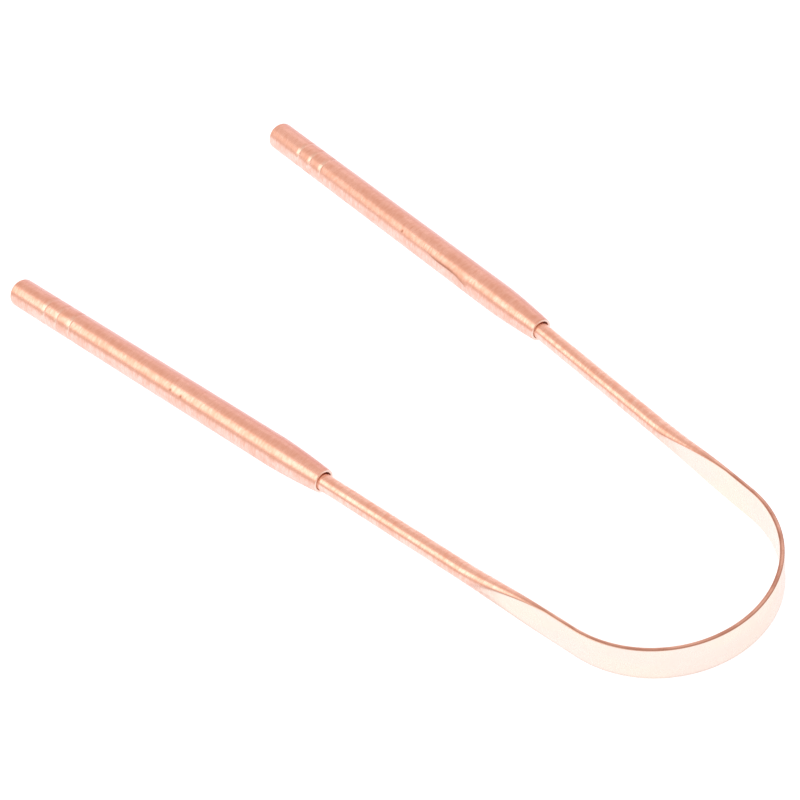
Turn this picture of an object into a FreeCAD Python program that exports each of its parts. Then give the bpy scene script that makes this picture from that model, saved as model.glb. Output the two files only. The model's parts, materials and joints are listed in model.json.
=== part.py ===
import FreeCAD, Part
import math
import os

from FreeCAD import Matrix, Placement, Rotation, Vector

# Copper tongue scraper: a round wire, pressed flat in the middle and bent into a U, held by two
# hollow handles. +X points at the bow, +Y at the left handle, and the scraper lies on Z = 0.
# All sizes are in millimetres and degrees.

# Blade, with distances along a leg counted from the end of the bow
wire_diameter = 3.0
band_height = 6.6
band_thickness = 0.75
bow_radius = 18.8
leg_splay = 5.9
leg_length = 55.0
swell_start = 22.5
flat_start = {"left_handle": 22.0, "right_handle": 19.6}
flat_end = 5.5
flat_hollow = 0.57
tail_length = 24.0
wire_bend_radius = 12.0

# Handles, with distances along a handle counted from its mouth
handle_length = 85.1
handle_diameter = 5.6
handle_wall = 0.45
end_wall = 0.8
end_rounding = 0.3
neck_length = 12.0
groove_count = 3
groove_inset = 10.4
groove_pitch = 3.85
groove_width = 1.1
groove_depth = 0.15

# The crimp that holds a wire in its handle, the wire's place to one side of the mouth, the blade's lean out
# of the handles' plane, and the angle that each handle turns out from its leg
crimp_clearance = 0.05
mouth_gap = 0.15
crimp_roll = -30.0
wire_offset = 0.1
blade_lean = 0.2
handle_turn = {"left_handle": -2.6, "right_handle": 0.6}
handle_side = {"left_handle": 1, "right_handle": -1}

# Lofts of the flattened stretch and of the neck
loft_sections = 5
swell_softness = 0.4
neck_curve = 1.5

wire_radius = wire_diameter / 2
handle_radius = handle_diameter / 2
bore_radius = handle_radius - handle_wall
along = Vector(1, 0, 0)
up = Vector(0, 0, 1)
crimp = Rotation(along, -crimp_roll)
mouth_long_axis = crimp.multVec(Vector(0, 1, 0))
mouth_short_axis = crimp.multVec(up)


def oval(half_width, half_height, distance=0.0):
    """Closed elliptical wire across the X axis, at a distance along it."""
    circle = Part.Circle(Vector(0, 0, 0), along, 1.0).toShape()
    stretch = Matrix()
    stretch.scale(1.0, half_width, half_height)
    wire = Part.Wire(circle.transformGeometry(stretch))
    wire.translate(along * distance)
    return wire


def fractions():
    """Even steps from 0 to 1, one for each section of a loft."""
    return [step / (loft_sections - 1) for step in range(loft_sections)]


def turned(shape, origin, angle):
    """Copy of a shape built along +X, turned about Z and moved to an origin."""
    placed = shape.copy()
    placed.Placement = Placement(origin, Rotation(up, angle)).multiply(placed.Placement)
    return placed


def leg_angle(side):
    """Direction of a leg, from the bow towards its handle."""
    return 180.0 - side * leg_splay


def leg_origin(side):
    """End of the bow, where a leg starts."""
    splay = math.radians(leg_splay)
    return Vector(bow_radius * math.sin(splay), side * bow_radius * math.cos(splay), 0)


def handle_angle(node):
    """Direction of a handle, from its mouth towards its closed end."""
    return leg_angle(handle_side[node]) - handle_side[node] * handle_turn[node]


def handle_origin(node):
    """Middle of a handle's mouth, to one side of the wire that comes out of it."""
    side = handle_side[node]
    reach = Rotation(up, leg_angle(side)).multVec(along * leg_length)
    wire = Rotation(mouth_short_axis, blade_lean).multVec(leg_origin(side) + reach)
    return wire + mouth_long_axis * wire_offset


def band_profile():
    """Section of the band: a spread oval with its two sides pressed flat."""
    spread = Part.Face(oval(wire_radius, band_height / 2))
    corners = [(-1, -1), (1, -1), (1, 1), (-1, 1), (-1, -1)]
    outline = [Vector(0, y * band_thickness / 2, z * band_height / 2) for y, z in corners]
    return spread.common(Part.Face(Part.makePolygon(outline))).Faces[0]


def flattened_stretch(node):
    """The wire spreads into an oval while two hollow flats close in and take its sides away."""
    length = swell_start - flat_end
    sections = []
    for fraction in fractions():
        soft = fraction - swell_softness * math.sin(2 * math.pi * fraction) / (2 * math.pi)
        half_height = wire_radius + soft * (band_height / 2 - wire_radius)
        sections.append(oval(wire_radius, half_height, swell_start - fraction * length))
    swelling = Part.makeLoft(sections, True)
    thin = band_thickness / 2
    rise = (wire_radius - thin) * length / (flat_start[node] - flat_end)
    past = length / (flat_start[node] - flat_end) - 1
    middle = thin + rise * (1 - flat_hollow) / 2
    thick = thin + rise * (1 + flat_hollow * past)
    sides = []
    for side in (-1, 1):
        poles = [Vector(flat_end, side * thin, 0), Vector(flat_end + length / 2, side * middle, 0)]
        curve = Part.BezierCurve()
        curve.setPoles(poles + [Vector(swell_start, side * thick, 0)])
        sides.append(curve.toShape())
    wide_end = Part.makeLine(Vector(swell_start, -thick, 0), Vector(swell_start, thick, 0))
    narrow_end = Part.makeLine(Vector(flat_end, thin, 0), Vector(flat_end, -thin, 0))
    wedge = Part.Face(Part.Wire([sides[0], wide_end, sides[1], narrow_end]))
    wedge.translate(up * -band_height)
    return swelling.common(wedge.extrude(up * 2 * band_height))


def round_leg(node):
    """Round wire from the flattened stretch, through a slight bend at the mouth, into the handle."""
    turn = handle_side[node] * handle_turn[node]
    tangent = wire_bend_radius * math.tan(math.radians(abs(turn)) / 2)
    leg = Part.makeCylinder(wire_radius, leg_length - tangent - swell_start, along * swell_start, along)
    elbow = Part.Face(oval(wire_radius, wire_radius, leg_length - tangent))
    bend_side = -math.copysign(1, turn)
    centre = Vector(leg_length - tangent, bend_side * wire_bend_radius, 0)
    bend = elbow.revolve(centre, up, -turn)
    tail = Part.makeCylinder(wire_radius, tail_length - tangent, along * tangent, along)
    tail = turned(tail, along * leg_length, -turn)
    return leg.fuse([bend, tail])


def scraper_blade():
    """One wire from handle to handle."""
    bow_profile = band_profile()
    bow_profile.rotate(Vector(0, 0, 0), up, 90.0)
    bow_profile.translate(Vector(bow_radius, 0, 0))
    half_sweep = 90.0 - leg_splay
    bow_profile.rotate(Vector(0, 0, 0), up, -half_sweep)
    pieces = []
    for node in handle_side:
        straight = band_profile().extrude(along * flat_end)
        leg = straight.fuse([flattened_stretch(node), round_leg(node)])
        side = handle_side[node]
        pieces.append(turned(leg, leg_origin(side), leg_angle(side)))
    bow = bow_profile.revolve(Vector(0, 0, 0), up, 2 * half_sweep)
    blade = bow.fuse(pieces).removeSplitter().Solids[0]
    blade.rotate(Vector(0, 0, 0), mouth_short_axis, blade_lean)
    return blade


def barrel_skin():
    """Outside of a handle past its neck, with rolled grooves and a rounded closed end."""
    edges = []
    point = Vector(neck_length, handle_radius, 0)
    for groove in reversed(range(groove_count)):
        middle = handle_length - groove_inset - groove * groove_pitch
        start = Vector(middle - groove_width / 2, handle_radius, 0)
        bottom = Vector(middle, handle_radius - groove_depth, 0)
        end = Vector(middle + groove_width / 2, handle_radius, 0)
        edges.append(Part.makeLine(point, start))
        edges.append(Part.Arc(start, bottom, end).toShape())
        point = end
    shoulder = Vector(handle_length - end_rounding, handle_radius, 0)
    rim = Vector(handle_length, handle_radius - end_rounding, 0)
    diagonal = end_rounding * math.sqrt(0.5)
    crest = Vector(shoulder.x + diagonal, rim.y + diagonal, 0)
    edges.append(Part.makeLine(point, shoulder))
    edges.append(Part.Arc(shoulder, crest, rim).toShape())
    edges.append(Part.makeLine(rim, Vector(handle_length, 0, 0)))
    return Part.Wire(edges).revolve(Vector(0, 0, 0), along, 360.0)


def bore_skin():
    """Inside of a handle past its neck, up to the closed end."""
    depth = handle_length - end_wall
    outline = [Vector(neck_length, bore_radius, 0), Vector(depth, bore_radius, 0), Vector(depth, 0, 0)]
    return Part.makePolygon(outline).revolve(Vector(0, 0, 0), along, 360.0)


def neck_sections(grown):
    """Ovals from the round barrel to the pinched mouth, grown outwards from the bore."""
    pinch = wire_radius + crimp_clearance
    spread = wire_radius + mouth_gap
    sections = []
    for fraction in fractions():
        drawn = fraction ** neck_curve
        half_width = bore_radius + drawn * (spread - bore_radius) + grown
        half_height = bore_radius + drawn * (pinch - bore_radius) + grown
        sections.append(oval(half_width, half_height, neck_length * (1 - fraction)))
    return sections


def handle():
    """Hollow handle along +X, with its mouth at the origin."""
    outside = neck_sections(handle_wall)
    inside = neck_sections(0.0)
    mouth_rim = Part.Face(outside[-1]).cut(Part.Face(inside[-1]))
    necks = [Part.makeLoft(sections, False, True) for sections in (outside, inside)]
    skins = [barrel_skin(), bore_skin(), mouth_rim] + necks
    shell = Part.makeShell([face for skin in skins for face in skin.Faces])
    shell.sewShape()
    solid = Part.makeSolid(shell)
    solid.rotate(Vector(0, 0, 0), along, crimp_roll)
    return solid


pieces = {"scraper_blade": scraper_blade()}
for node in handle_side:
    pieces[node] = turned(handle(), handle_origin(node), handle_angle(node))

# The middle of the footprint goes to the origin, with the lower edge of the band on Z = 0
box = Part.makeCompound(list(pieces.values())).optimalBoundingBox(False)
to_origin = Vector(-box.Center.x, -box.Center.y, -box.ZMin)

os.makedirs("parts", exist_ok=True)
for name, solid in pieces.items():
    solid.translate(to_origin)
    solid.exportStep("parts/" + name + ".step")
    print(name, solid.ShapeType, len(solid.Solids), solid.isValid(), round(solid.Volume, 2))
print("box", [round(side, 3) for side in (box.XLength, box.YLength, box.ZLength)])
print("bow centre", [round(value, 3) for value in to_origin])
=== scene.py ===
import json

import bpy
import numpy as np
from mathutils import Matrix, Vector


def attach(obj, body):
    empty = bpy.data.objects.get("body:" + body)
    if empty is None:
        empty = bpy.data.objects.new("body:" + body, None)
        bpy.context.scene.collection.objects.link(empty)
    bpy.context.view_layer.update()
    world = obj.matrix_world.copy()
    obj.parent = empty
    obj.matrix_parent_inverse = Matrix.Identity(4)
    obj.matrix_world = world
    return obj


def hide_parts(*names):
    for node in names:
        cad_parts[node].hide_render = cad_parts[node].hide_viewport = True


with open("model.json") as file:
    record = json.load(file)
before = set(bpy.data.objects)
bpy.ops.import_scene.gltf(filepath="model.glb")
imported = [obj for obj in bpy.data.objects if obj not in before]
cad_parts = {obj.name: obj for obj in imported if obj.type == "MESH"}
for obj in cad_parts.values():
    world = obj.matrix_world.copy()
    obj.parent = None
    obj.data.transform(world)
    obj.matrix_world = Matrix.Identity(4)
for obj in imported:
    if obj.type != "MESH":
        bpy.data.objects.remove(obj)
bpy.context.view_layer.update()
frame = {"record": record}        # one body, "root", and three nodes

# Scraper blade
# One drawn copper wire. Its middle is pressed flat into a thin band and bent into a U, and its round
# legs run through the pinched mouths of the handles and end inside them.
MM = 0.001
WIRE_RADIUS = 1.5 * MM
BAND_HALF_HEIGHT = 3.3 * MM
BAND_HALF_THICKNESS = 0.375 * MM
BOW_RADIUS = 18.8 * MM
LEG_SPLAY = np.radians(5.9)
LEG_LENGTH = 55.0 * MM
SWELL_START = 22.5 * MM
SWELL_SOFTNESS = 0.4
FLAT_STARTS = {"left_handle": 22.0 * MM, "right_handle": 19.6 * MM}
FLAT_HOLLOW = 0.57
FLAT_END = 5.5 * MM
MOUTH_BEND = 0.6 * MM
TAIL_LENGTH = 24.0 * MM
EDGE_SOFTNESS = 0.018 * MM
BAND_EDGE_SOFTNESS = 0.05 * MM
NECK_LENGTH = 12.0 * MM
CRIMP_ROLL = np.radians(-30.0)
BLADE_LEAN = np.radians(0.2)
WIRE_OFFSET = 0.1 * MM

barrels = {mount["name"].replace("_barrel", ""): mount for mount in frame["record"]["mounts"]}


def handle_axis(node):
    """Unit vector along a handle, from its mouth to its closed end."""
    return np.array(barrels[node]["axis"]) / np.linalg.norm(barrels[node]["axis"])


def handle_mouth(node):
    """Middle of a handle's mouth: half a barrel and one neck back from the middle of the barrel."""
    reach = barrels[node]["dims"]["length_mm"] * MM / 2 + NECK_LENGTH
    return np.array(barrels[node]["pos_m"]) - handle_axis(node) * reach


mouth_long_axis = np.array([0.0, np.cos(CRIMP_ROLL), -np.sin(CRIMP_ROLL)])
mouth_short_axis = (0.0, float(np.sin(CRIMP_ROLL)), float(np.cos(CRIMP_ROLL)))
lean = np.array(Matrix.Rotation(BLADE_LEAN, 3, Vector(mouth_short_axis)))
legs_end = np.array([BOW_RADIUS * np.sin(LEG_SPLAY) - LEG_LENGTH * np.cos(LEG_SPLAY), 0.0, 0.0])
mouths_middle = (handle_mouth("left_handle") + handle_mouth("right_handle")) / 2
bow_centre = mouths_middle - mouth_long_axis * WIRE_OFFSET - lean @ legs_end
bow_front = bow_centre[:2] + np.array([BOW_RADIUS, 0.0])

# How many sections each stretch of a leg has, from the front of the bow to the wire's end
BOW_SECTIONS = 96
BAND_SECTIONS = 6
FLATS_SECTIONS = 90
ROUND_SECTIONS = 24
MOUTH_SECTIONS = 8
TAIL_SECTIONS = 8


def wire_line(node, side):
    """Centre line from the front of the bow to the wire's end in a handle, seen from above.

    The heading is a broken line over the length: it turns evenly round the bow, holds along the leg, turns
    a little at the mouth and holds again. The points are the running sum of the chords between stations.
    The last value is the distance of each station past the end of the bow."""
    bow_end = BOW_RADIUS * (np.pi / 2 - LEG_SPLAY)
    mouth = bow_end + LEG_LENGTH
    length = np.concatenate([
        np.linspace(0.0, bow_end, BOW_SECTIONS, endpoint=False),
        np.linspace(bow_end, bow_end + FLAT_END, BAND_SECTIONS, endpoint=False),
        np.linspace(bow_end + FLAT_END, bow_end + SWELL_START, FLATS_SECTIONS, endpoint=False),
        np.linspace(bow_end + SWELL_START, mouth - MOUTH_BEND, ROUND_SECTIONS, endpoint=False),
        np.linspace(mouth - MOUTH_BEND, mouth + MOUTH_BEND, MOUTH_SECTIONS, endpoint=False),
        np.linspace(mouth + MOUTH_BEND, mouth + TAIL_LENGTH, TAIL_SECTIONS + 1),
    ])
    axis = handle_axis(node)
    leg_heading = side * (np.pi - LEG_SPLAY)
    corners = [0.0, bow_end, mouth - MOUTH_BEND, mouth + MOUTH_BEND]
    headings = [side * np.pi / 2, leg_heading, leg_heading, np.arctan2(axis[1], axis[0])]
    heading = np.interp(length, corners, headings)
    turn = np.diff(heading)
    chord = np.diff(length) * np.sinc(turn / (2 * np.pi))
    middle = heading[:-1] + turn / 2
    steps = chord[:, None] * np.stack([np.cos(middle), np.sin(middle)], -1)
    points = bow_front + np.concatenate([np.zeros((1, 2)), np.cumsum(steps, axis=0)])
    return points, heading, length - bow_end


def pressed_share(distance):
    """0 on the round wire and 1 on the band, from the distance past the end of the bow."""
    return np.clip((SWELL_START - distance) / (SWELL_START - FLAT_END), 0.0, 1.0)


def flat_share(distance, flat_start):
    """1 where the two flats start on the round wire, and 0 where they reach the band."""
    return np.clip((distance - FLAT_END) / (flat_start - FLAT_END), 0.0, None)


def edge_softness(distance):
    """How far the edge between flat and oval is rounded: more on the band than on the legs."""
    return (EDGE_SOFTNESS + pressed_share(distance) * (BAND_EDGE_SOFTNESS - EDGE_SOFTNESS))[:, None]


BLADE_COLUMNS = 80
LEAST_EDGE_ANGLE = 0.25


def section_angles(edge):
    """Angles round a section: in each quarter the points crowd as a square towards the angle of the edge."""
    quarter, part = np.divmod(4 * np.arange(BLADE_COLUMNS) / BLADE_COLUMNS, 1.0)
    mirrored = quarter % 2 == 1
    part = np.where(mirrored, 1.0 - part, part)[None, :]
    low = edge * (1 - (1 - 2 * part) ** 2)
    high = edge + (np.pi / 2 - edge) * (2 * part - 1) ** 2
    angle = np.where(part < 0.5, low, high)
    return np.where(mirrored, (quarter + 1) * np.pi / 2 - angle, quarter * np.pi / 2 + angle)


def wire_sections(distance, flat_start):
    """Section of the wire at each distance, as sideways and downward offsets from the centre line.

    A section is an oval of the wire's width whose sides are cut off by two flats that close in towards the
    band along a parabola. The cut is a soft minimum, so its edge is slightly round. The third value is the
    angle round the section, and the fourth is how far the oval stands past the flat: more than 0 on the
    pressed faces, and less on the round."""
    share = pressed_share(distance)
    swell = share - SWELL_SOFTNESS * np.sin(2 * np.pi * share) / (2 * np.pi)
    half_height = (WIRE_RADIUS + swell * (BAND_HALF_HEIGHT - WIRE_RADIUS))[:, None]
    along = flat_share(distance, flat_start)
    opened = along * (1 - FLAT_HOLLOW * (1 - along))
    flat = (BAND_HALF_THICKNESS + (WIRE_RADIUS - BAND_HALF_THICKNESS) * opened)[:, None]
    angle = section_angles(np.arccos(np.clip(flat / WIRE_RADIUS, 0.0, np.cos(LEAST_EDGE_ANGLE))))
    oval = WIRE_RADIUS * np.abs(np.cos(angle))
    softness = edge_softness(distance)
    across = -softness * np.logaddexp(-oval / softness, -flat / softness)
    sideways = np.sign(np.cos(angle)) * np.clip(across, 0.0, None)
    return sideways, half_height * np.sin(angle), angle, oval - flat


FLAT_FADE = 0.4
POLISHED_EDGE = 0.18 * MM
UPPER_LINE_WIDTH = 0.13 * MM
EDGE_LINE_STRENGTH = 0.75
INNER_LINE_OFFSET = 0.15 * MM
# Painted shade along the bottom of the band's outer faces: where it lies, and how strong on the legs and at
# the bow
LOWER_SHADE_OFFSET = 0.2 * MM
LOWER_SHADE_LEG = 0.8
LOWER_SHADE_BOW = 0.28


def blade_marks(distance, flat_start, worn, angle, past):
    """Marks on the blade's surface, each from 0 to 1: pressed faces, band edges, dark lines and painted
    shade.

    The faces fade in along the start of a flat, and where the band is worn they reach a little round its
    edge. Each dark line is a bell across the edge. The upper one runs beside the outer face, and on top of
    the edge at the inner face where that isn't worn. The lower one is painted shade along the bottom of the
    outer face only, fainter at the bow."""
    share = pressed_share(distance)[:, None]
    worn = worn[:, None]
    outer = np.cos(angle) > 0
    polished = past + POLISHED_EDGE * worn * share**2
    fade = np.clip((1 - flat_share(distance, flat_start)[:, None]) / FLAT_FADE, 0.0, 1.0)
    pressed = fade * (0.5 + 0.5 * np.tanh(polished / edge_softness(distance)))
    upper = np.exp(-(((polished + np.where(outer, 0.0, INNER_LINE_OFFSET)) / UPPER_LINE_WIDTH) ** 2))
    upper = upper * np.where(outer, 1.0, 1.0 - worn)
    # Lower line: painted shade along the bottom of the outer face
    lower = outer * np.exp(-((past / LOWER_SHADE_OFFSET - 1) ** 2))
    lower = lower * (LOWER_SHADE_LEG + share * (LOWER_SHADE_BOW - LOWER_SHADE_LEG))
    seam = EDGE_LINE_STRENGTH * np.sqrt(share) * np.where(np.sin(angle) > 0, lower, upper)
    return {"pressed": pressed, "band": np.broadcast_to(share**2, angle.shape), "seam": seam}


def closed_mesh(name, points):
    """Mesh of a grid of points (rows, columns, 3): each row is a ring, and a fan closes each end."""
    rows, columns = points.shape[:2]
    ring = np.arange(columns)
    following = (ring + 1) % columns
    base = columns * np.arange(rows - 1)[:, None]
    quads = np.stack([base + ring, base + columns + ring, base + columns + following, base + following], -1)
    first_pole = rows * columns
    last_ring = (rows - 1) * columns
    first_fan = np.stack([np.full(columns, first_pole), ring, following], -1)
    last_fan = np.stack([np.full(columns, first_pole + 1), last_ring + following, last_ring + ring], -1)
    poles = np.stack([points[0].mean(axis=0), points[-1].mean(axis=0)])
    vertices = np.concatenate([points.reshape(-1, 3), poles])
    faces = quads.reshape(-1, 4).tolist() + first_fan.tolist() + last_fan.tolist()
    mesh = bpy.data.meshes.new(name)
    mesh.from_pydata(vertices.tolist(), [], faces)
    mesh.shade_smooth()
    piece = bpy.data.objects.new(name, mesh)
    bpy.context.scene.collection.objects.link(piece)
    return piece


def add_marks(piece, marks):
    """Float attributes on a piece's points, with their end rows repeated on the two poles."""
    for name, values in marks.items():
        whole = np.concatenate([values.ravel(), values[0, :1], values[-1, :1]])
        layer = piece.data.attributes.new(name, "FLOAT", "POINT")
        layer.data.foreach_set("value", whole.astype(np.float32))


left_points, left_heading, left_distance = wire_line("left_handle", 1)
right_points, right_heading, right_distance = wire_line("right_handle", -1)
line = np.concatenate([left_points[:0:-1], right_points])
heading = np.concatenate([left_heading[:0:-1] - np.pi, right_heading])
distance = np.concatenate([left_distance[:0:-1], right_distance])
left_start = np.full(len(left_points) - 1, FLAT_STARTS["left_handle"])
right_start = np.full(len(right_points), FLAT_STARTS["right_handle"])
flat_start = np.concatenate([left_start, right_start])
sideways, downward, angle, past = wire_sections(distance, flat_start)
outward = np.stack([-np.sin(heading), np.cos(heading)], -1)
blade_grid = np.empty(sideways.shape + (3,))
blade_grid[..., :2] = line[:, None, :] + sideways[..., None] * outward[:, None, :]
blade_grid[..., 2] = bow_centre[2] - downward
blade = closed_mesh("blade", bow_centre + (blade_grid - bow_centre) @ lean.T)
# The band's edges are worn most on the right leg, less round the bow and not at all on the left leg
worn_share = np.clip(0.5 - line[:, 1] / (2 * BOW_RADIUS), 0.0, 1.0)
add_marks(blade, blade_marks(distance, flat_start, worn_share, angle, past))


def new_group(name, inputs, outputs):
    """Empty shader node group with named sockets, and its input and output nodes."""
    group = bpy.data.node_groups.new(name, "ShaderNodeTree")
    for socket, kind in inputs:
        group.interface.new_socket(socket, in_out="INPUT", socket_type=kind)
    for socket, kind in outputs:
        group.interface.new_socket(socket, in_out="OUTPUT", socket_type=kind)
    return group, group.nodes.new("NodeGroupInput"), group.nodes.new("NodeGroupOutput")


def stretched(tree, vector, factors):
    """A vector with its three parts multiplied by fixed factors."""
    node = tree.nodes.new("ShaderNodeVectorMath")
    node.operation = "MULTIPLY"
    node.inputs[1].default_value = factors
    tree.links.new(vector, node.inputs[0])
    return node.outputs["Vector"]


def clouds(tree, vector, factors, detail):
    """Noise from about 0.3 to 0.7, read at a vector stretched by three factors."""
    node = tree.nodes.new("ShaderNodeTexNoise")
    node.inputs["Scale"].default_value = 1.0
    node.inputs["Detail"].default_value = detail
    tree.links.new(stretched(tree, vector, factors), node.inputs["Vector"])
    return node.outputs["Fac"]


def math_node(tree, operation, first, second):
    """Math node on two values, each a socket or a number."""
    node = tree.nodes.new("ShaderNodeMath")
    node.operation = operation
    for socket, value in zip(node.inputs, (first, second)):
        if isinstance(value, (int, float)):
            socket.default_value = value
        else:
            tree.links.new(value, socket)
    return node.outputs["Value"]


def blend(tree, first, second, share):
    """A fixed share of the first value and the rest of the second."""
    first_part = math_node(tree, "MULTIPLY", first, share)
    second_part = math_node(tree, "MULTIPLY", second, 1.0 - share)
    return math_node(tree, "ADD", first_part, second_part)


FINE_LINES = (2900.0, 900.0, 900.0)
BROAD_LINES = (1000.0, 500.0, 500.0)
SOFT_PATCHES = (160.0, 400.0, 400.0)
FINE_SHARE = 0.55
LINE_SHARE = 0.7


def brush_marks_group():
    """Marks of a brush turned round a rod that lies along X: fine lines round it, and soft patches."""
    sockets = [("Tone", "NodeSocketFloat"), ("Height", "NodeSocketFloat")]
    group, given, result = new_group("brush_marks", [("Place", "NodeSocketVector")], sockets)
    place = given.outputs["Place"]
    fine = clouds(group, place, FINE_LINES, detail=2.0)
    broad = clouds(group, place, BROAD_LINES, detail=3.0)
    patches = clouds(group, place, SOFT_PATCHES, detail=2.0)
    lines = blend(group, fine, broad, FINE_SHARE)
    group.links.new(blend(group, lines, patches, LINE_SHARE), result.inputs["Tone"])
    group.links.new(lines, result.inputs["Height"])
    return group


brush_marks = brush_marks_group()


def new_material(name):
    """Material with its node tree and its Principled BSDF."""
    material = bpy.data.materials.new(name)
    material.use_nodes = True
    return material, material.node_tree, material.node_tree.nodes["Principled BSDF"]


def object_place(tree):
    """Place on a piece, in the frame that all pieces share."""
    return tree.nodes.new("ShaderNodeTexCoord").outputs["Object"]


def brushed(tree, turn):
    """The brush marks group, read along a rod that is turned about Z by an angle."""
    mapping = tree.nodes.new("ShaderNodeMapping")
    mapping.inputs["Rotation"].default_value = (0.0, 0.0, -turn)
    tree.links.new(object_place(tree), mapping.inputs["Vector"])
    marks = tree.nodes.new("ShaderNodeGroup")
    marks.node_tree = brush_marks
    tree.links.new(mapping.outputs["Vector"], marks.inputs["Place"])
    return marks


def colour_mix(tree, factor, first, second):
    """Colour between two, each a socket or four numbers, by a factor socket."""
    node = tree.nodes.new("ShaderNodeMix")
    node.data_type = "RGBA"
    tree.links.new(factor, node.inputs["Factor"])
    for socket, value in ((node.inputs["A"], first), (node.inputs["B"], second)):
        if isinstance(value, tuple):
            socket.default_value = value
        else:
            tree.links.new(value, socket)
    return node.outputs["Result"]


CLOUD_LOW = 0.41
CLOUD_HIGH = 0.59


def spread(tree, value, low, high):
    """The middle of a noise's range, spread between two values."""
    node = tree.nodes.new("ShaderNodeMapRange")
    node.inputs["From Min"].default_value = CLOUD_LOW
    node.inputs["From Max"].default_value = CLOUD_HIGH
    node.inputs["To Min"].default_value = low
    node.inputs["To Max"].default_value = high
    tree.links.new(value, node.inputs["Value"])
    return node.outputs["Result"]


def bumped(tree, height, strength, depth):
    """Normal of a surface bumped by a height socket."""
    node = tree.nodes.new("ShaderNodeBump")
    node.inputs["Strength"].default_value = strength
    node.inputs["Distance"].default_value = depth
    tree.links.new(height, node.inputs["Height"])
    return node.outputs["Normal"]


def attribute(tree, name):
    """Value of one of the piece's own attributes."""
    node = tree.nodes.new("ShaderNodeAttribute")
    node.attribute_name = name
    return node.outputs["Fac"]


WIRE_DARK = (0.92, 0.59, 0.47, 1.0)
WIRE_LIGHT = (1.0, 0.77, 0.67, 1.0)
WIRE_ROUGHNESS = (0.34, 0.24)
WIRE_RELIEF = 0.7
# Colour of the dark lines on the band's edges, and of painted shade on its lower faces and along the fold's
# line
DARK_LINE_AND_SHADE = (0.42, 0.20, 0.14, 1.0)
# Polished copper, painted paler as a reflection of the bright floor; the rose one also paints the highlight
# in the handles' grooves and colours their polished rims
BURNISH_AND_SHEEN_ROSE = (0.97, 0.865, 0.765, 1.0)
BURNISH_AND_SHEEN_CREAM = (0.98, 0.885, 0.755, 1.0)
FACE_CLOUDS = (60.0, 60.0, 160.0)
FACE_SMOOTHING = 0.96
DULL_EDGE = (0.70, 0.46, 0.38, 1.0)
WORN_EDGE = (0.93, 0.69, 0.59, 1.0)
EDGE_CLOUDS = (260.0, 260.0, 260.0)
BRUSH_DEPTH = 0.03 * MM


def blade_copper():
    """Brushed round legs that turn into the polished faces of the band, painted paler to stand for the
    bright floor they reflect, with dull edges, dark lines along the band's top edges and painted shade along
    the bottom of its outer faces.
    """
    material, tree, shader = new_material("blade_copper")
    marks = brushed(tree, 0.0)
    round_colour = colour_mix(tree, spread(tree, marks.outputs["Tone"], 0.0, 1.0), WIRE_DARK, WIRE_LIGHT)
    wear = spread(tree, clouds(tree, object_place(tree), EDGE_CLOUDS, detail=4.0), 0.0, 1.0)
    edge_colour = colour_mix(tree, wear, DULL_EDGE, WORN_EDGE)
    outer_colour = colour_mix(tree, attribute(tree, "band"), round_colour, edge_colour)
    shine = spread(tree, clouds(tree, object_place(tree), FACE_CLOUDS, detail=2.0), 0.0, 1.0)
    # Polished faces, painted paler to stand for the bright floor they reflect
    face_colour = colour_mix(tree, shine, BURNISH_AND_SHEEN_ROSE, BURNISH_AND_SHEEN_CREAM)
    pressed = attribute(tree, "pressed")
    colour = colour_mix(tree, pressed, outer_colour, face_colour)
    # Dark lines along the band's top edges, and painted shade along the bottom of its outer faces
    colour = colour_mix(tree, attribute(tree, "seam"), colour, DARK_LINE_AND_SHADE)
    tree.links.new(colour, shader.inputs["Base Color"])
    tree.links.new(spread(tree, marks.outputs["Tone"], *WIRE_ROUGHNESS), shader.inputs["Roughness"])
    kept_rough = math_node(tree, "SUBTRACT", 1.0, math_node(tree, "MULTIPLY", pressed, FACE_SMOOTHING))
    relief = math_node(tree, "MULTIPLY", marks.outputs["Height"], kept_rough)
    tree.links.new(bumped(tree, relief, WIRE_RELIEF, BRUSH_DEPTH), shader.inputs["Normal"])
    shader.inputs["Metallic"].default_value = 1.0
    return material


blade.data.materials.append(blade_copper())
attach(blade, "root")
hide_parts("scraper_blade")

# Handles
# Two sleeves of thin copper tube with closed ends, brushed round the barrel. Each has three rolled grooves
# near its end, and a neck drawn in to a mouth that is pinched onto the wire.
HANDLE_WALL = 0.45 * MM
END_WALL = 0.8 * MM
END_ROUNDING = 0.3 * MM
GROOVE_COUNT = 3
GROOVE_INSET = 10.4 * MM
GROOVE_PITCH = 3.85 * MM
GROOVE_WIDTH = 1.1 * MM
GROOVE_DEPTH = 0.15 * MM
GROOVE_BOTTOM = -0.18
GROOVE_ROUNDING = 0.3
NECK_CURVE = 1.5
MOUTH_PINCH = WIRE_RADIUS + 0.05 * MM
MOUTH_SPREAD = WIRE_RADIUS + 0.15 * MM
RIM_SOFTNESS = 0.12 * MM

grooves_length = GROOVE_INSET + GROOVE_PITCH * (GROOVE_COUNT - 1) + GROOVE_WIDTH / 2
handle_length = grooves_length + NECK_LENGTH + barrels["left_handle"]["dims"]["length_mm"] * MM


def groove_depth(station):
    """Depth of the rolled grooves at a distance from the mouth.

    Each groove is a narrow flank on the mouth's side and a wide one on the other, nearly straight, with a
    share of half a cosine to round their ends."""
    middles = handle_length - GROOVE_INSET - GROOVE_PITCH * np.arange(GROOVE_COUNT)
    offset = (station[:, None] - middles) / GROOVE_WIDTH
    falling = (offset + 0.5) / (GROOVE_BOTTOM + 0.5)
    rising = (0.5 - offset) / (0.5 - GROOVE_BOTTOM)
    share = np.clip(np.minimum(falling, rising), 0.0, 1.0)
    rounded = 0.5 - 0.5 * np.cos(np.pi * share)
    return GROOVE_DEPTH * (GROOVE_ROUNDING * rounded + (1 - GROOVE_ROUNDING) * share).sum(axis=1)


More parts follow.
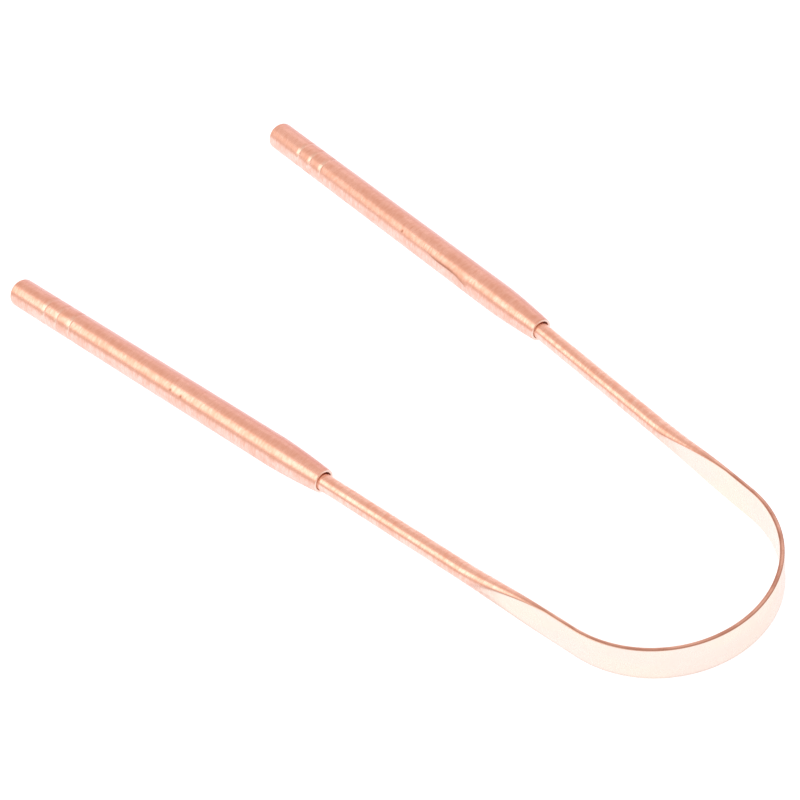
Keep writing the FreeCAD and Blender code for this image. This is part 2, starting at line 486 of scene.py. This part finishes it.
# A fold in the wall of one handle: its bent line as distances from the mouth and angles up from the side
FOLDED_HANDLE = "left_handle"
FOLD_STATIONS = np.array([17.6, 18.5, 20.0, 21.4, 23.7, 27.3, 29.2, 30.8, 32.5]) * MM
FOLD_ANGLES = np.radians([8.0, 15.0, 23.5, 29.5, 32.0, 30.5, 33.0, 37.0, 43.0])
FOLD_FLAT = FOLD_ANGLES[-1]
FOLD_WIDTH = 0.25 * MM
FOLD_RISE = FOLD_STATIONS[3] - FOLD_STATIONS[0]
CREASE_BELOW = 0.16 * MM
CREASE_ABOVE = 0.38 * MM

# How many rings each stretch of a handle's wall has, and the share of the radius where its ends close
END_RINGS = 10
ROUNDING_RINGS = 8
GROOVE_RINGS = 149
BARREL_RINGS = 29
FOLD_RINGS = 79
FRONT_RINGS = 11
NECK_RINGS = 39
LIP_RINGS = 12
BORE_RINGS = 11
BORE_END_RINGS = 7
END_MIDDLE = 0.1


def rings(start, stop, count):
    """Evenly spaced values after the start, up to the stop."""
    return np.linspace(start, stop, count + 1)[1:]


def wall_run(station, share, drawn, grown):
    """One stretch of a handle's wall: four rows of the same length."""
    return np.stack(np.broadcast_arrays(station, share, drawn, grown))


def handle_profile(radius):
    """Run of a handle's wall: over its end, along the outside, round the rim and back along the bore.

    Each station has a distance from the mouth, a share of the full radius, how far the tube is drawn in
    towards the mouth, as a power of the way along the neck, and how far it stands outside the bore."""
    end_share = (1.0 - END_ROUNDING / radius) * np.linspace(END_MIDDLE, 1.0, END_RINGS)
    turn = rings(0.0, np.pi / 2, ROUNDING_RINGS)
    rounding = handle_length - END_ROUNDING * (1 - np.cos(turn))
    rounding_share = (radius - END_ROUNDING * (1 - np.sin(turn))) / radius
    grooved = handle_length - GROOVE_INSET - GROOVE_PITCH * (GROOVE_COUNT - 1) - 2 * GROOVE_WIDTH
    barrel = np.concatenate([
        rings(handle_length - END_ROUNDING, grooved, GROOVE_RINGS),
        rings(grooved, FOLD_STATIONS[-1], BARREL_RINGS),
        rings(FOLD_STATIONS[-1], FOLD_STATIONS[0], FOLD_RINGS),
        rings(FOLD_STATIONS[0], NECK_LENGTH, FRONT_RINGS),
    ])
    neck = np.linspace(NECK_LENGTH, RIM_SOFTNESS, NECK_RINGS + 1)
    drawn = (1 - neck / NECK_LENGTH) ** NECK_CURVE
    half_turn = rings(0.0, np.pi, LIP_RINGS)
    lip = RIM_SOFTNESS * (1 - np.sin(half_turn))
    lip_drawn = (1 - lip / NECK_LENGTH) ** NECK_CURVE
    bore_end = handle_length - END_WALL
    return np.concatenate([
        wall_run(handle_length, end_share, 0.0, HANDLE_WALL),
        wall_run(rounding, rounding_share, 0.0, HANDLE_WALL),
        wall_run(barrel, 1.0 - groove_depth(barrel) / radius, 0.0, HANDLE_WALL),
        wall_run(neck[1:], 1.0, drawn[1:], HANDLE_WALL),
        wall_run(lip, 1.0, lip_drawn, HANDLE_WALL * (1 + np.cos(half_turn)) / 2),
        wall_run(neck[-2::-1], 1.0, drawn[-2::-1], 0.0),
        wall_run(rings(NECK_LENGTH, bore_end, BORE_RINGS), 1.0, 0.0, 0.0),
        wall_run(bore_end, rings(1.0, END_MIDDLE, BORE_END_RINGS), 0.0, 0.0),
    ], axis=1)


def fold_height(station, angle, radius):
    """Height of the fold in a sleeve above the round barrel.

    A bent line gives an angle up from the side for each distance from the mouth. Above it the wall is a flat
    that touches the barrel at one angle, and below it the wall falls back to the barrel as half a cosine.
    The fold dies out at its end near the mouth, and at its far end the line meets the barrel."""
    bend = np.interp(station, FOLD_STATIONS, FOLD_ANGLES)[:, None]
    height = radius / np.cos(np.clip(FOLD_FLAT - np.maximum(angle, bend), 0.0, None)) - radius
    below = np.clip(radius * (bend - angle) / FOLD_WIDTH, 0.0, 1.0)
    rise = np.clip((station - FOLD_STATIONS[0]) / FOLD_RISE, 0.0, 1.0)[:, None]
    return rise * height * (0.5 + 0.5 * np.cos(np.pi * below))


def crease_line(station, angle, radius):
    """Painted shade along the fold's bent line: a bell that is wider above the line than below it.

    Along the line it grows and fades as half a sine, so that it is 0 past both ends."""
    bend = np.interp(station, FOLD_STATIONS, FOLD_ANGLES)[:, None]
    along = np.clip((station - FOLD_STATIONS[0]) / (FOLD_STATIONS[-1] - FOLD_STATIONS[0]), 0.0, 1.0)
    above = radius * (angle - bend)
    width = np.where(above > 0, CREASE_ABOVE, CREASE_BELOW)
    return np.sin(np.pi * along)[:, None] * np.exp(-((above / width) ** 2))


HANDLE_COLUMNS = 112
FOLD_COLUMNS = 64
UNFOLDED_COLUMNS = 96
FOLD_SIDE = np.radians([-8.0, 46.0])


def ring_angles(node):
    """Angles round a handle, up from its side, that crowd where it is folded."""
    if node != FOLDED_HANDLE:
        return np.linspace(0.0, 2 * np.pi, HANDLE_COLUMNS, endpoint=False)
    low, high = FOLD_SIDE
    folded = np.linspace(low, high, FOLD_COLUMNS, endpoint=False)
    return np.concatenate([folded, np.linspace(high, low + 2 * np.pi, UNFOLDED_COLUMNS, endpoint=False)])


UP = np.array([0.0, 0.0, 1.0])
CREASE_SHADE = 0.95
# Painted highlight in the grooves: its strength, the angle round the barrel that faces the lamp, and its
# fall-off
GROOVE_HIGHLIGHT = 0.9
GROOVE_HIGHLIGHT_SIDE = np.radians(52.0)
GROOVE_HIGHLIGHT_FALL = 4
RIM_SHINE = 0.6
BORE_SHADE = 0.85
# Painted shade on the upper far side of each handle: the angle it centres on and how fast it falls off
FAR_SHADE_SIDE = np.radians(135.0)
FAR_SHADE_FALL = 6


def handle_grid(node):
    """Rings of a handle: each station's oval, across the handle's axis and rolled by the crimp's angle.

    The marks on the surface follow: a painted highlight on one side of the grooves, a polished rim, painted
    shade along the fold's line, the dull bore, and painted shade on the upper far side that falls off round
    the barrel as a power of a cosine."""
    axis = handle_axis(node)
    radius = barrels[node]["dims"]["r_mm"] * MM
    bore = radius - HANDLE_WALL
    station, share, drawn, grown = handle_profile(radius)
    half_width = share * (bore + drawn * (MOUTH_SPREAD - bore) + grown)
    half_height = share * (bore + drawn * (MOUTH_PINCH - bore) + grown)
    wide = np.cos(CRIMP_ROLL) * np.cross(UP, axis) + np.sin(CRIMP_ROLL) * UP
    narrow = np.cross(axis, wide)
    angle = ring_angles(node)
    ring = half_width[:, None, None] * np.cos(angle - CRIMP_ROLL)[:, None] * wide
    ring = ring + half_height[:, None, None] * np.sin(angle - CRIMP_ROLL)[:, None] * narrow
    outside = (grown > 0)[:, None]
    crease = np.zeros(ring.shape[:2])
    if node == FOLDED_HANDLE:
        ring = ring * (1 + outside * fold_height(station, angle, radius) / radius)[..., None]
        # Painted shade along the fold's line, on the outside of the wall
        crease = CREASE_SHADE * outside * crease_line(station, angle, radius)
    grooves = np.sqrt(groove_depth(station)[:, None] / GROOVE_DEPTH) * outside
    # Painted highlight in the grooves, only on the side of the barrel that faces the key lamp
    lit_side_share = np.clip(np.cos(angle - GROOVE_HIGHLIGHT_SIDE), 0.0, 1.0) ** GROOVE_HIGHLIGHT_FALL
    lit_groove_share = GROOVE_HIGHLIGHT * grooves * lit_side_share
    # Painted shade on the upper far side of the barrel, standing in for dark surroundings in its reflection
    far_shade_share = np.clip(np.cos(angle - FAR_SHADE_SIDE), 0.0, 1.0) ** FAR_SHADE_FALL
    marks = {
        # Polished rim, and painted highlight in the grooves
        "burnished": np.where(station[:, None] < RIM_SOFTNESS, RIM_SHINE, lit_groove_share),
        "crease": crease,
        "inside": np.broadcast_to(np.where(outside, 0.0, BORE_SHADE), crease.shape),
        "tarnish": outside * far_shade_share,
    }
    return handle_mouth(node) + station[:, None, None] * axis + ring, marks


# Small stains, each at a distance from the mouth in millimetres and an angle up from the side in degrees
STAINS = {"left_handle": [(38.7, 44.0)], "right_handle": [(37.1, 48.0), (34.2, 47.0)]}
STAIN_RADIUS = 0.52 * MM
STAIN = (0.52, 0.25, 0.17, 1.0)


def stain(tree, place):
    """1 in the middle of a small stain at a place, falling to 0 at its edge."""
    away = tree.nodes.new("ShaderNodeVectorMath")
    away.operation = "DISTANCE"
    away.inputs[1].default_value = place
    tree.links.new(object_place(tree), away.inputs[0])
    fade = tree.nodes.new("ShaderNodeMapRange")
    fade.interpolation_type = "SMOOTHSTEP"
    fade.inputs["From Min"].default_value = 0.0
    fade.inputs["From Max"].default_value = STAIN_RADIUS
    fade.inputs["To Min"].default_value = 1.0
    fade.inputs["To Max"].default_value = 0.0
    tree.links.new(away.outputs["Value"], fade.inputs["Value"])
    return fade.outputs["Result"]


def barrel_point(node, station, angle):
    """Point on the outside of a handle, at a distance from its mouth and an angle up from its side."""
    axis = handle_axis(node)
    outward = np.cos(angle) * np.cross(UP, axis) + np.sin(angle) * UP
    return tuple(handle_mouth(node) + station * axis + barrels[node]["dims"]["r_mm"] * MM * outward)


BRUSHED_DARK = (0.875, 0.56, 0.44, 1.0)
BRUSHED_LIGHT = (1.0, 0.715, 0.615, 1.0)
HANDLE_ROUGHNESS = (0.36, 0.26)
HANDLE_RELIEF = 0.6
# Colour of the painted shade on the handles' upper far side
FAR_SHADE_COLOUR = (0.80, 0.47, 0.41, 1.0)
BORE = (0.95, 0.45, 0.30, 1.0)


def handle_copper(node):
    """Bright copper with the marks of a brush run round the handle, a stain or two, a polished rim, painted
    highlights and shade, and a dull bore.
    """
    axis = handle_axis(node)
    material, tree, shader = new_material(node + "_copper")
    marks = brushed(tree, float(np.arctan2(-axis[1], -axis[0])))
    colour = colour_mix(tree, spread(tree, marks.outputs["Tone"], 0.0, 1.0), BRUSHED_DARK, BRUSHED_LIGHT)
    # Painted shade: the upper far side of the barrel darker, for the dark surroundings it reflects
    colour = colour_mix(tree, attribute(tree, "tarnish"), colour, FAR_SHADE_COLOUR)
    for station, angle in STAINS[node]:
        place = barrel_point(node, station * MM, np.radians(angle))
        colour = colour_mix(tree, stain(tree, place), colour, STAIN)
    # Polished rim, and a painted highlight in the grooves on the lamp's side
    colour = colour_mix(tree, attribute(tree, "burnished"), colour, BURNISH_AND_SHEEN_ROSE)
    # Painted shade along the fold's line
    colour = colour_mix(tree, attribute(tree, "crease"), colour, DARK_LINE_AND_SHADE)
    colour = colour_mix(tree, attribute(tree, "inside"), colour, BORE)
    tree.links.new(colour, shader.inputs["Base Color"])
    tree.links.new(spread(tree, marks.outputs["Tone"], *HANDLE_ROUGHNESS), shader.inputs["Roughness"])
    normal = bumped(tree, marks.outputs["Height"], HANDLE_RELIEF, BRUSH_DEPTH)
    tree.links.new(normal, shader.inputs["Normal"])
    tree.links.new(math_node(tree, "SUBTRACT", 1.0, attribute(tree, "inside")), shader.inputs["Metallic"])
    return material


for node in ("left_handle", "right_handle"):
    handle_points, handle_marks = handle_grid(node)
    handle = closed_mesh(node + "_sleeve", handle_points)
    add_marks(handle, handle_marks)
    handle.data.materials.append(handle_copper(node))
    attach(handle, "root")
    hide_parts(node)

# Studio
# A sheet of white paper under the scraper, a large soft lamp at the left of the view, a pale card behind
# the scraper, and a camera that looks down on it at the photograph's angle.
FLOOR_SIZE = 6.0
FLOOR_GAP = 0.05 * MM
FLOOR_GLOW = 0.78
FLOOR_SHEEN = (0.60, 0.63, 0.65, 1.0)
FLOOR_PAINT = (0.62, 0.70, 0.84, 1.0)
WHITE = (1.0, 1.0, 1.0, 1.0)


def floor_paper():
    """White paper: a plain diffuse sheet, with a glow that only the lens and the metal see."""
    material, tree, shader = new_material("floor_paper")
    shader.inputs["Base Color"].default_value = FLOOR_PAINT
    shader.inputs["Roughness"].default_value = 1.0
    shader.inputs["Specular IOR Level"].default_value = 0.0
    path = tree.nodes.new("ShaderNodeLightPath")
    glow = colour_mix(tree, path.outputs["Is Camera Ray"], FLOOR_SHEEN, WHITE)
    tree.links.new(glow, shader.inputs["Emission Color"])
    lens = math_node(tree, "MULTIPLY", path.outputs["Is Camera Ray"], FLOOR_GLOW)
    mirrored = math_node(tree, "MAXIMUM", path.outputs["Is Glossy Ray"], path.outputs["Is Transmission Ray"])
    tree.links.new(math_node(tree, "ADD", lens, mirrored), shader.inputs["Emission Strength"])
    return material


half = FLOOR_SIZE / 2
corners = [(x, y, -FLOOR_GAP) for x, y in ((-half, -half), (half, -half), (half, half), (-half, half))]
floor_mesh = bpy.data.meshes.new("floor")
floor_mesh.from_pydata(corners, [], [(0, 1, 2, 3)])
floor_mesh.materials.append(floor_paper())
floor = bpy.data.objects.new("floor", floor_mesh)
bpy.context.scene.collection.objects.link(floor)

LAMP_AIM = (-0.03, 0.0, 0.0)
KEY_PLACE = (-0.22, -0.317, 0.352)
KEY_SIZE = (0.55, 0.33)
KEY_LEVEL = 0.80
KEY_COLOUR = (1.0, 0.99, 0.90)
CARD_PLACE = (-0.41, 0.44, 0.2)
CARD_SIZE = (0.9, 0.42)
CARD_LEVEL = 0.22
CARD_COLOUR = (0.8, 0.85, 1.0)


def soft_lamp(name, place, size, level, colour):
    """Rectangular lamp at a place, aimed at the scraper, with its first side level along the handles.

    The level is the brightness of the lamp's face: 1 is as bright as white paper."""
    lamp = bpy.data.lights.new(name, "AREA")
    lamp.shape = "RECTANGLE"
    lamp.size, lamp.size_y = size
    lamp.energy = level * np.pi * size[0] * size[1]
    lamp.color = colour
    stand = bpy.data.objects.new(name, lamp)
    backward = (Vector(place) - Vector(LAMP_AIM)).normalized()
    sideways = (Vector((1.0, 0.0, 0.0)) - backward * backward.x).normalized()
    turn = Matrix((sideways, backward.cross(sideways), backward)).transposed()
    stand.matrix_world = Matrix.Translation(place) @ turn.to_4x4()
    stand.visible_camera = False
    bpy.context.scene.collection.objects.link(stand)


soft_lamp("key", KEY_PLACE, KEY_SIZE, KEY_LEVEL, KEY_COLOUR)
soft_lamp("card", CARD_PLACE, CARD_SIZE, CARD_LEVEL, CARD_COLOUR)

ROOM = (0.83, 0.585, 0.50, 1.0)

world = bpy.data.worlds.new("studio")
world.use_nodes = True
bpy.context.scene.world = world
surround = world.node_tree.nodes["Background"]
camera_path = world.node_tree.nodes.new("ShaderNodeLightPath")
room_colour = colour_mix(world.node_tree, camera_path.outputs["Is Camera Ray"], ROOM, WHITE)
world.node_tree.links.new(room_colour, surround.inputs["Color"])

# The view that the photograph has: where it looks, from how far, and at which angles
IMAGE_WIDTH = 800
FOCAL_PIXELS = 1853.6
SENSOR_WIDTH = 36.0
NEAREST_VIEW = 10.0 * MM
LOOK_AT = (1.274 * MM, -1.2265 * MM, 3.306 * MM)
LOOK_DISTANCE = 317.03 * MM
LOOK_AZIMUTH = np.radians(59.594)
LOOK_ELEVATION = np.radians(42.976)
LOOK_ROLL = np.radians(-12.633)

camera = bpy.data.objects.new("camera", bpy.data.cameras.new("camera"))
camera.data.sensor_width = SENSOR_WIDTH
camera.data.lens = SENSOR_WIDTH * FOCAL_PIXELS / IMAGE_WIDTH
camera.data.clip_start = NEAREST_VIEW
spin = Matrix.Rotation(LOOK_AZIMUTH, 4, "Z") @ Matrix.Rotation(np.pi / 2 - LOOK_ELEVATION, 4, "X")
spin = spin @ Matrix.Rotation(LOOK_ROLL, 4, "Z")
camera.matrix_world = Matrix.Translation(LOOK_AT) @ spin @ Matrix.Translation((0.0, 0.0, LOOK_DISTANCE))
bpy.context.scene.collection.objects.link(camera)
bpy.context.scene.camera = camera
bpy.context.scene.view_settings.view_transform = "Standard"
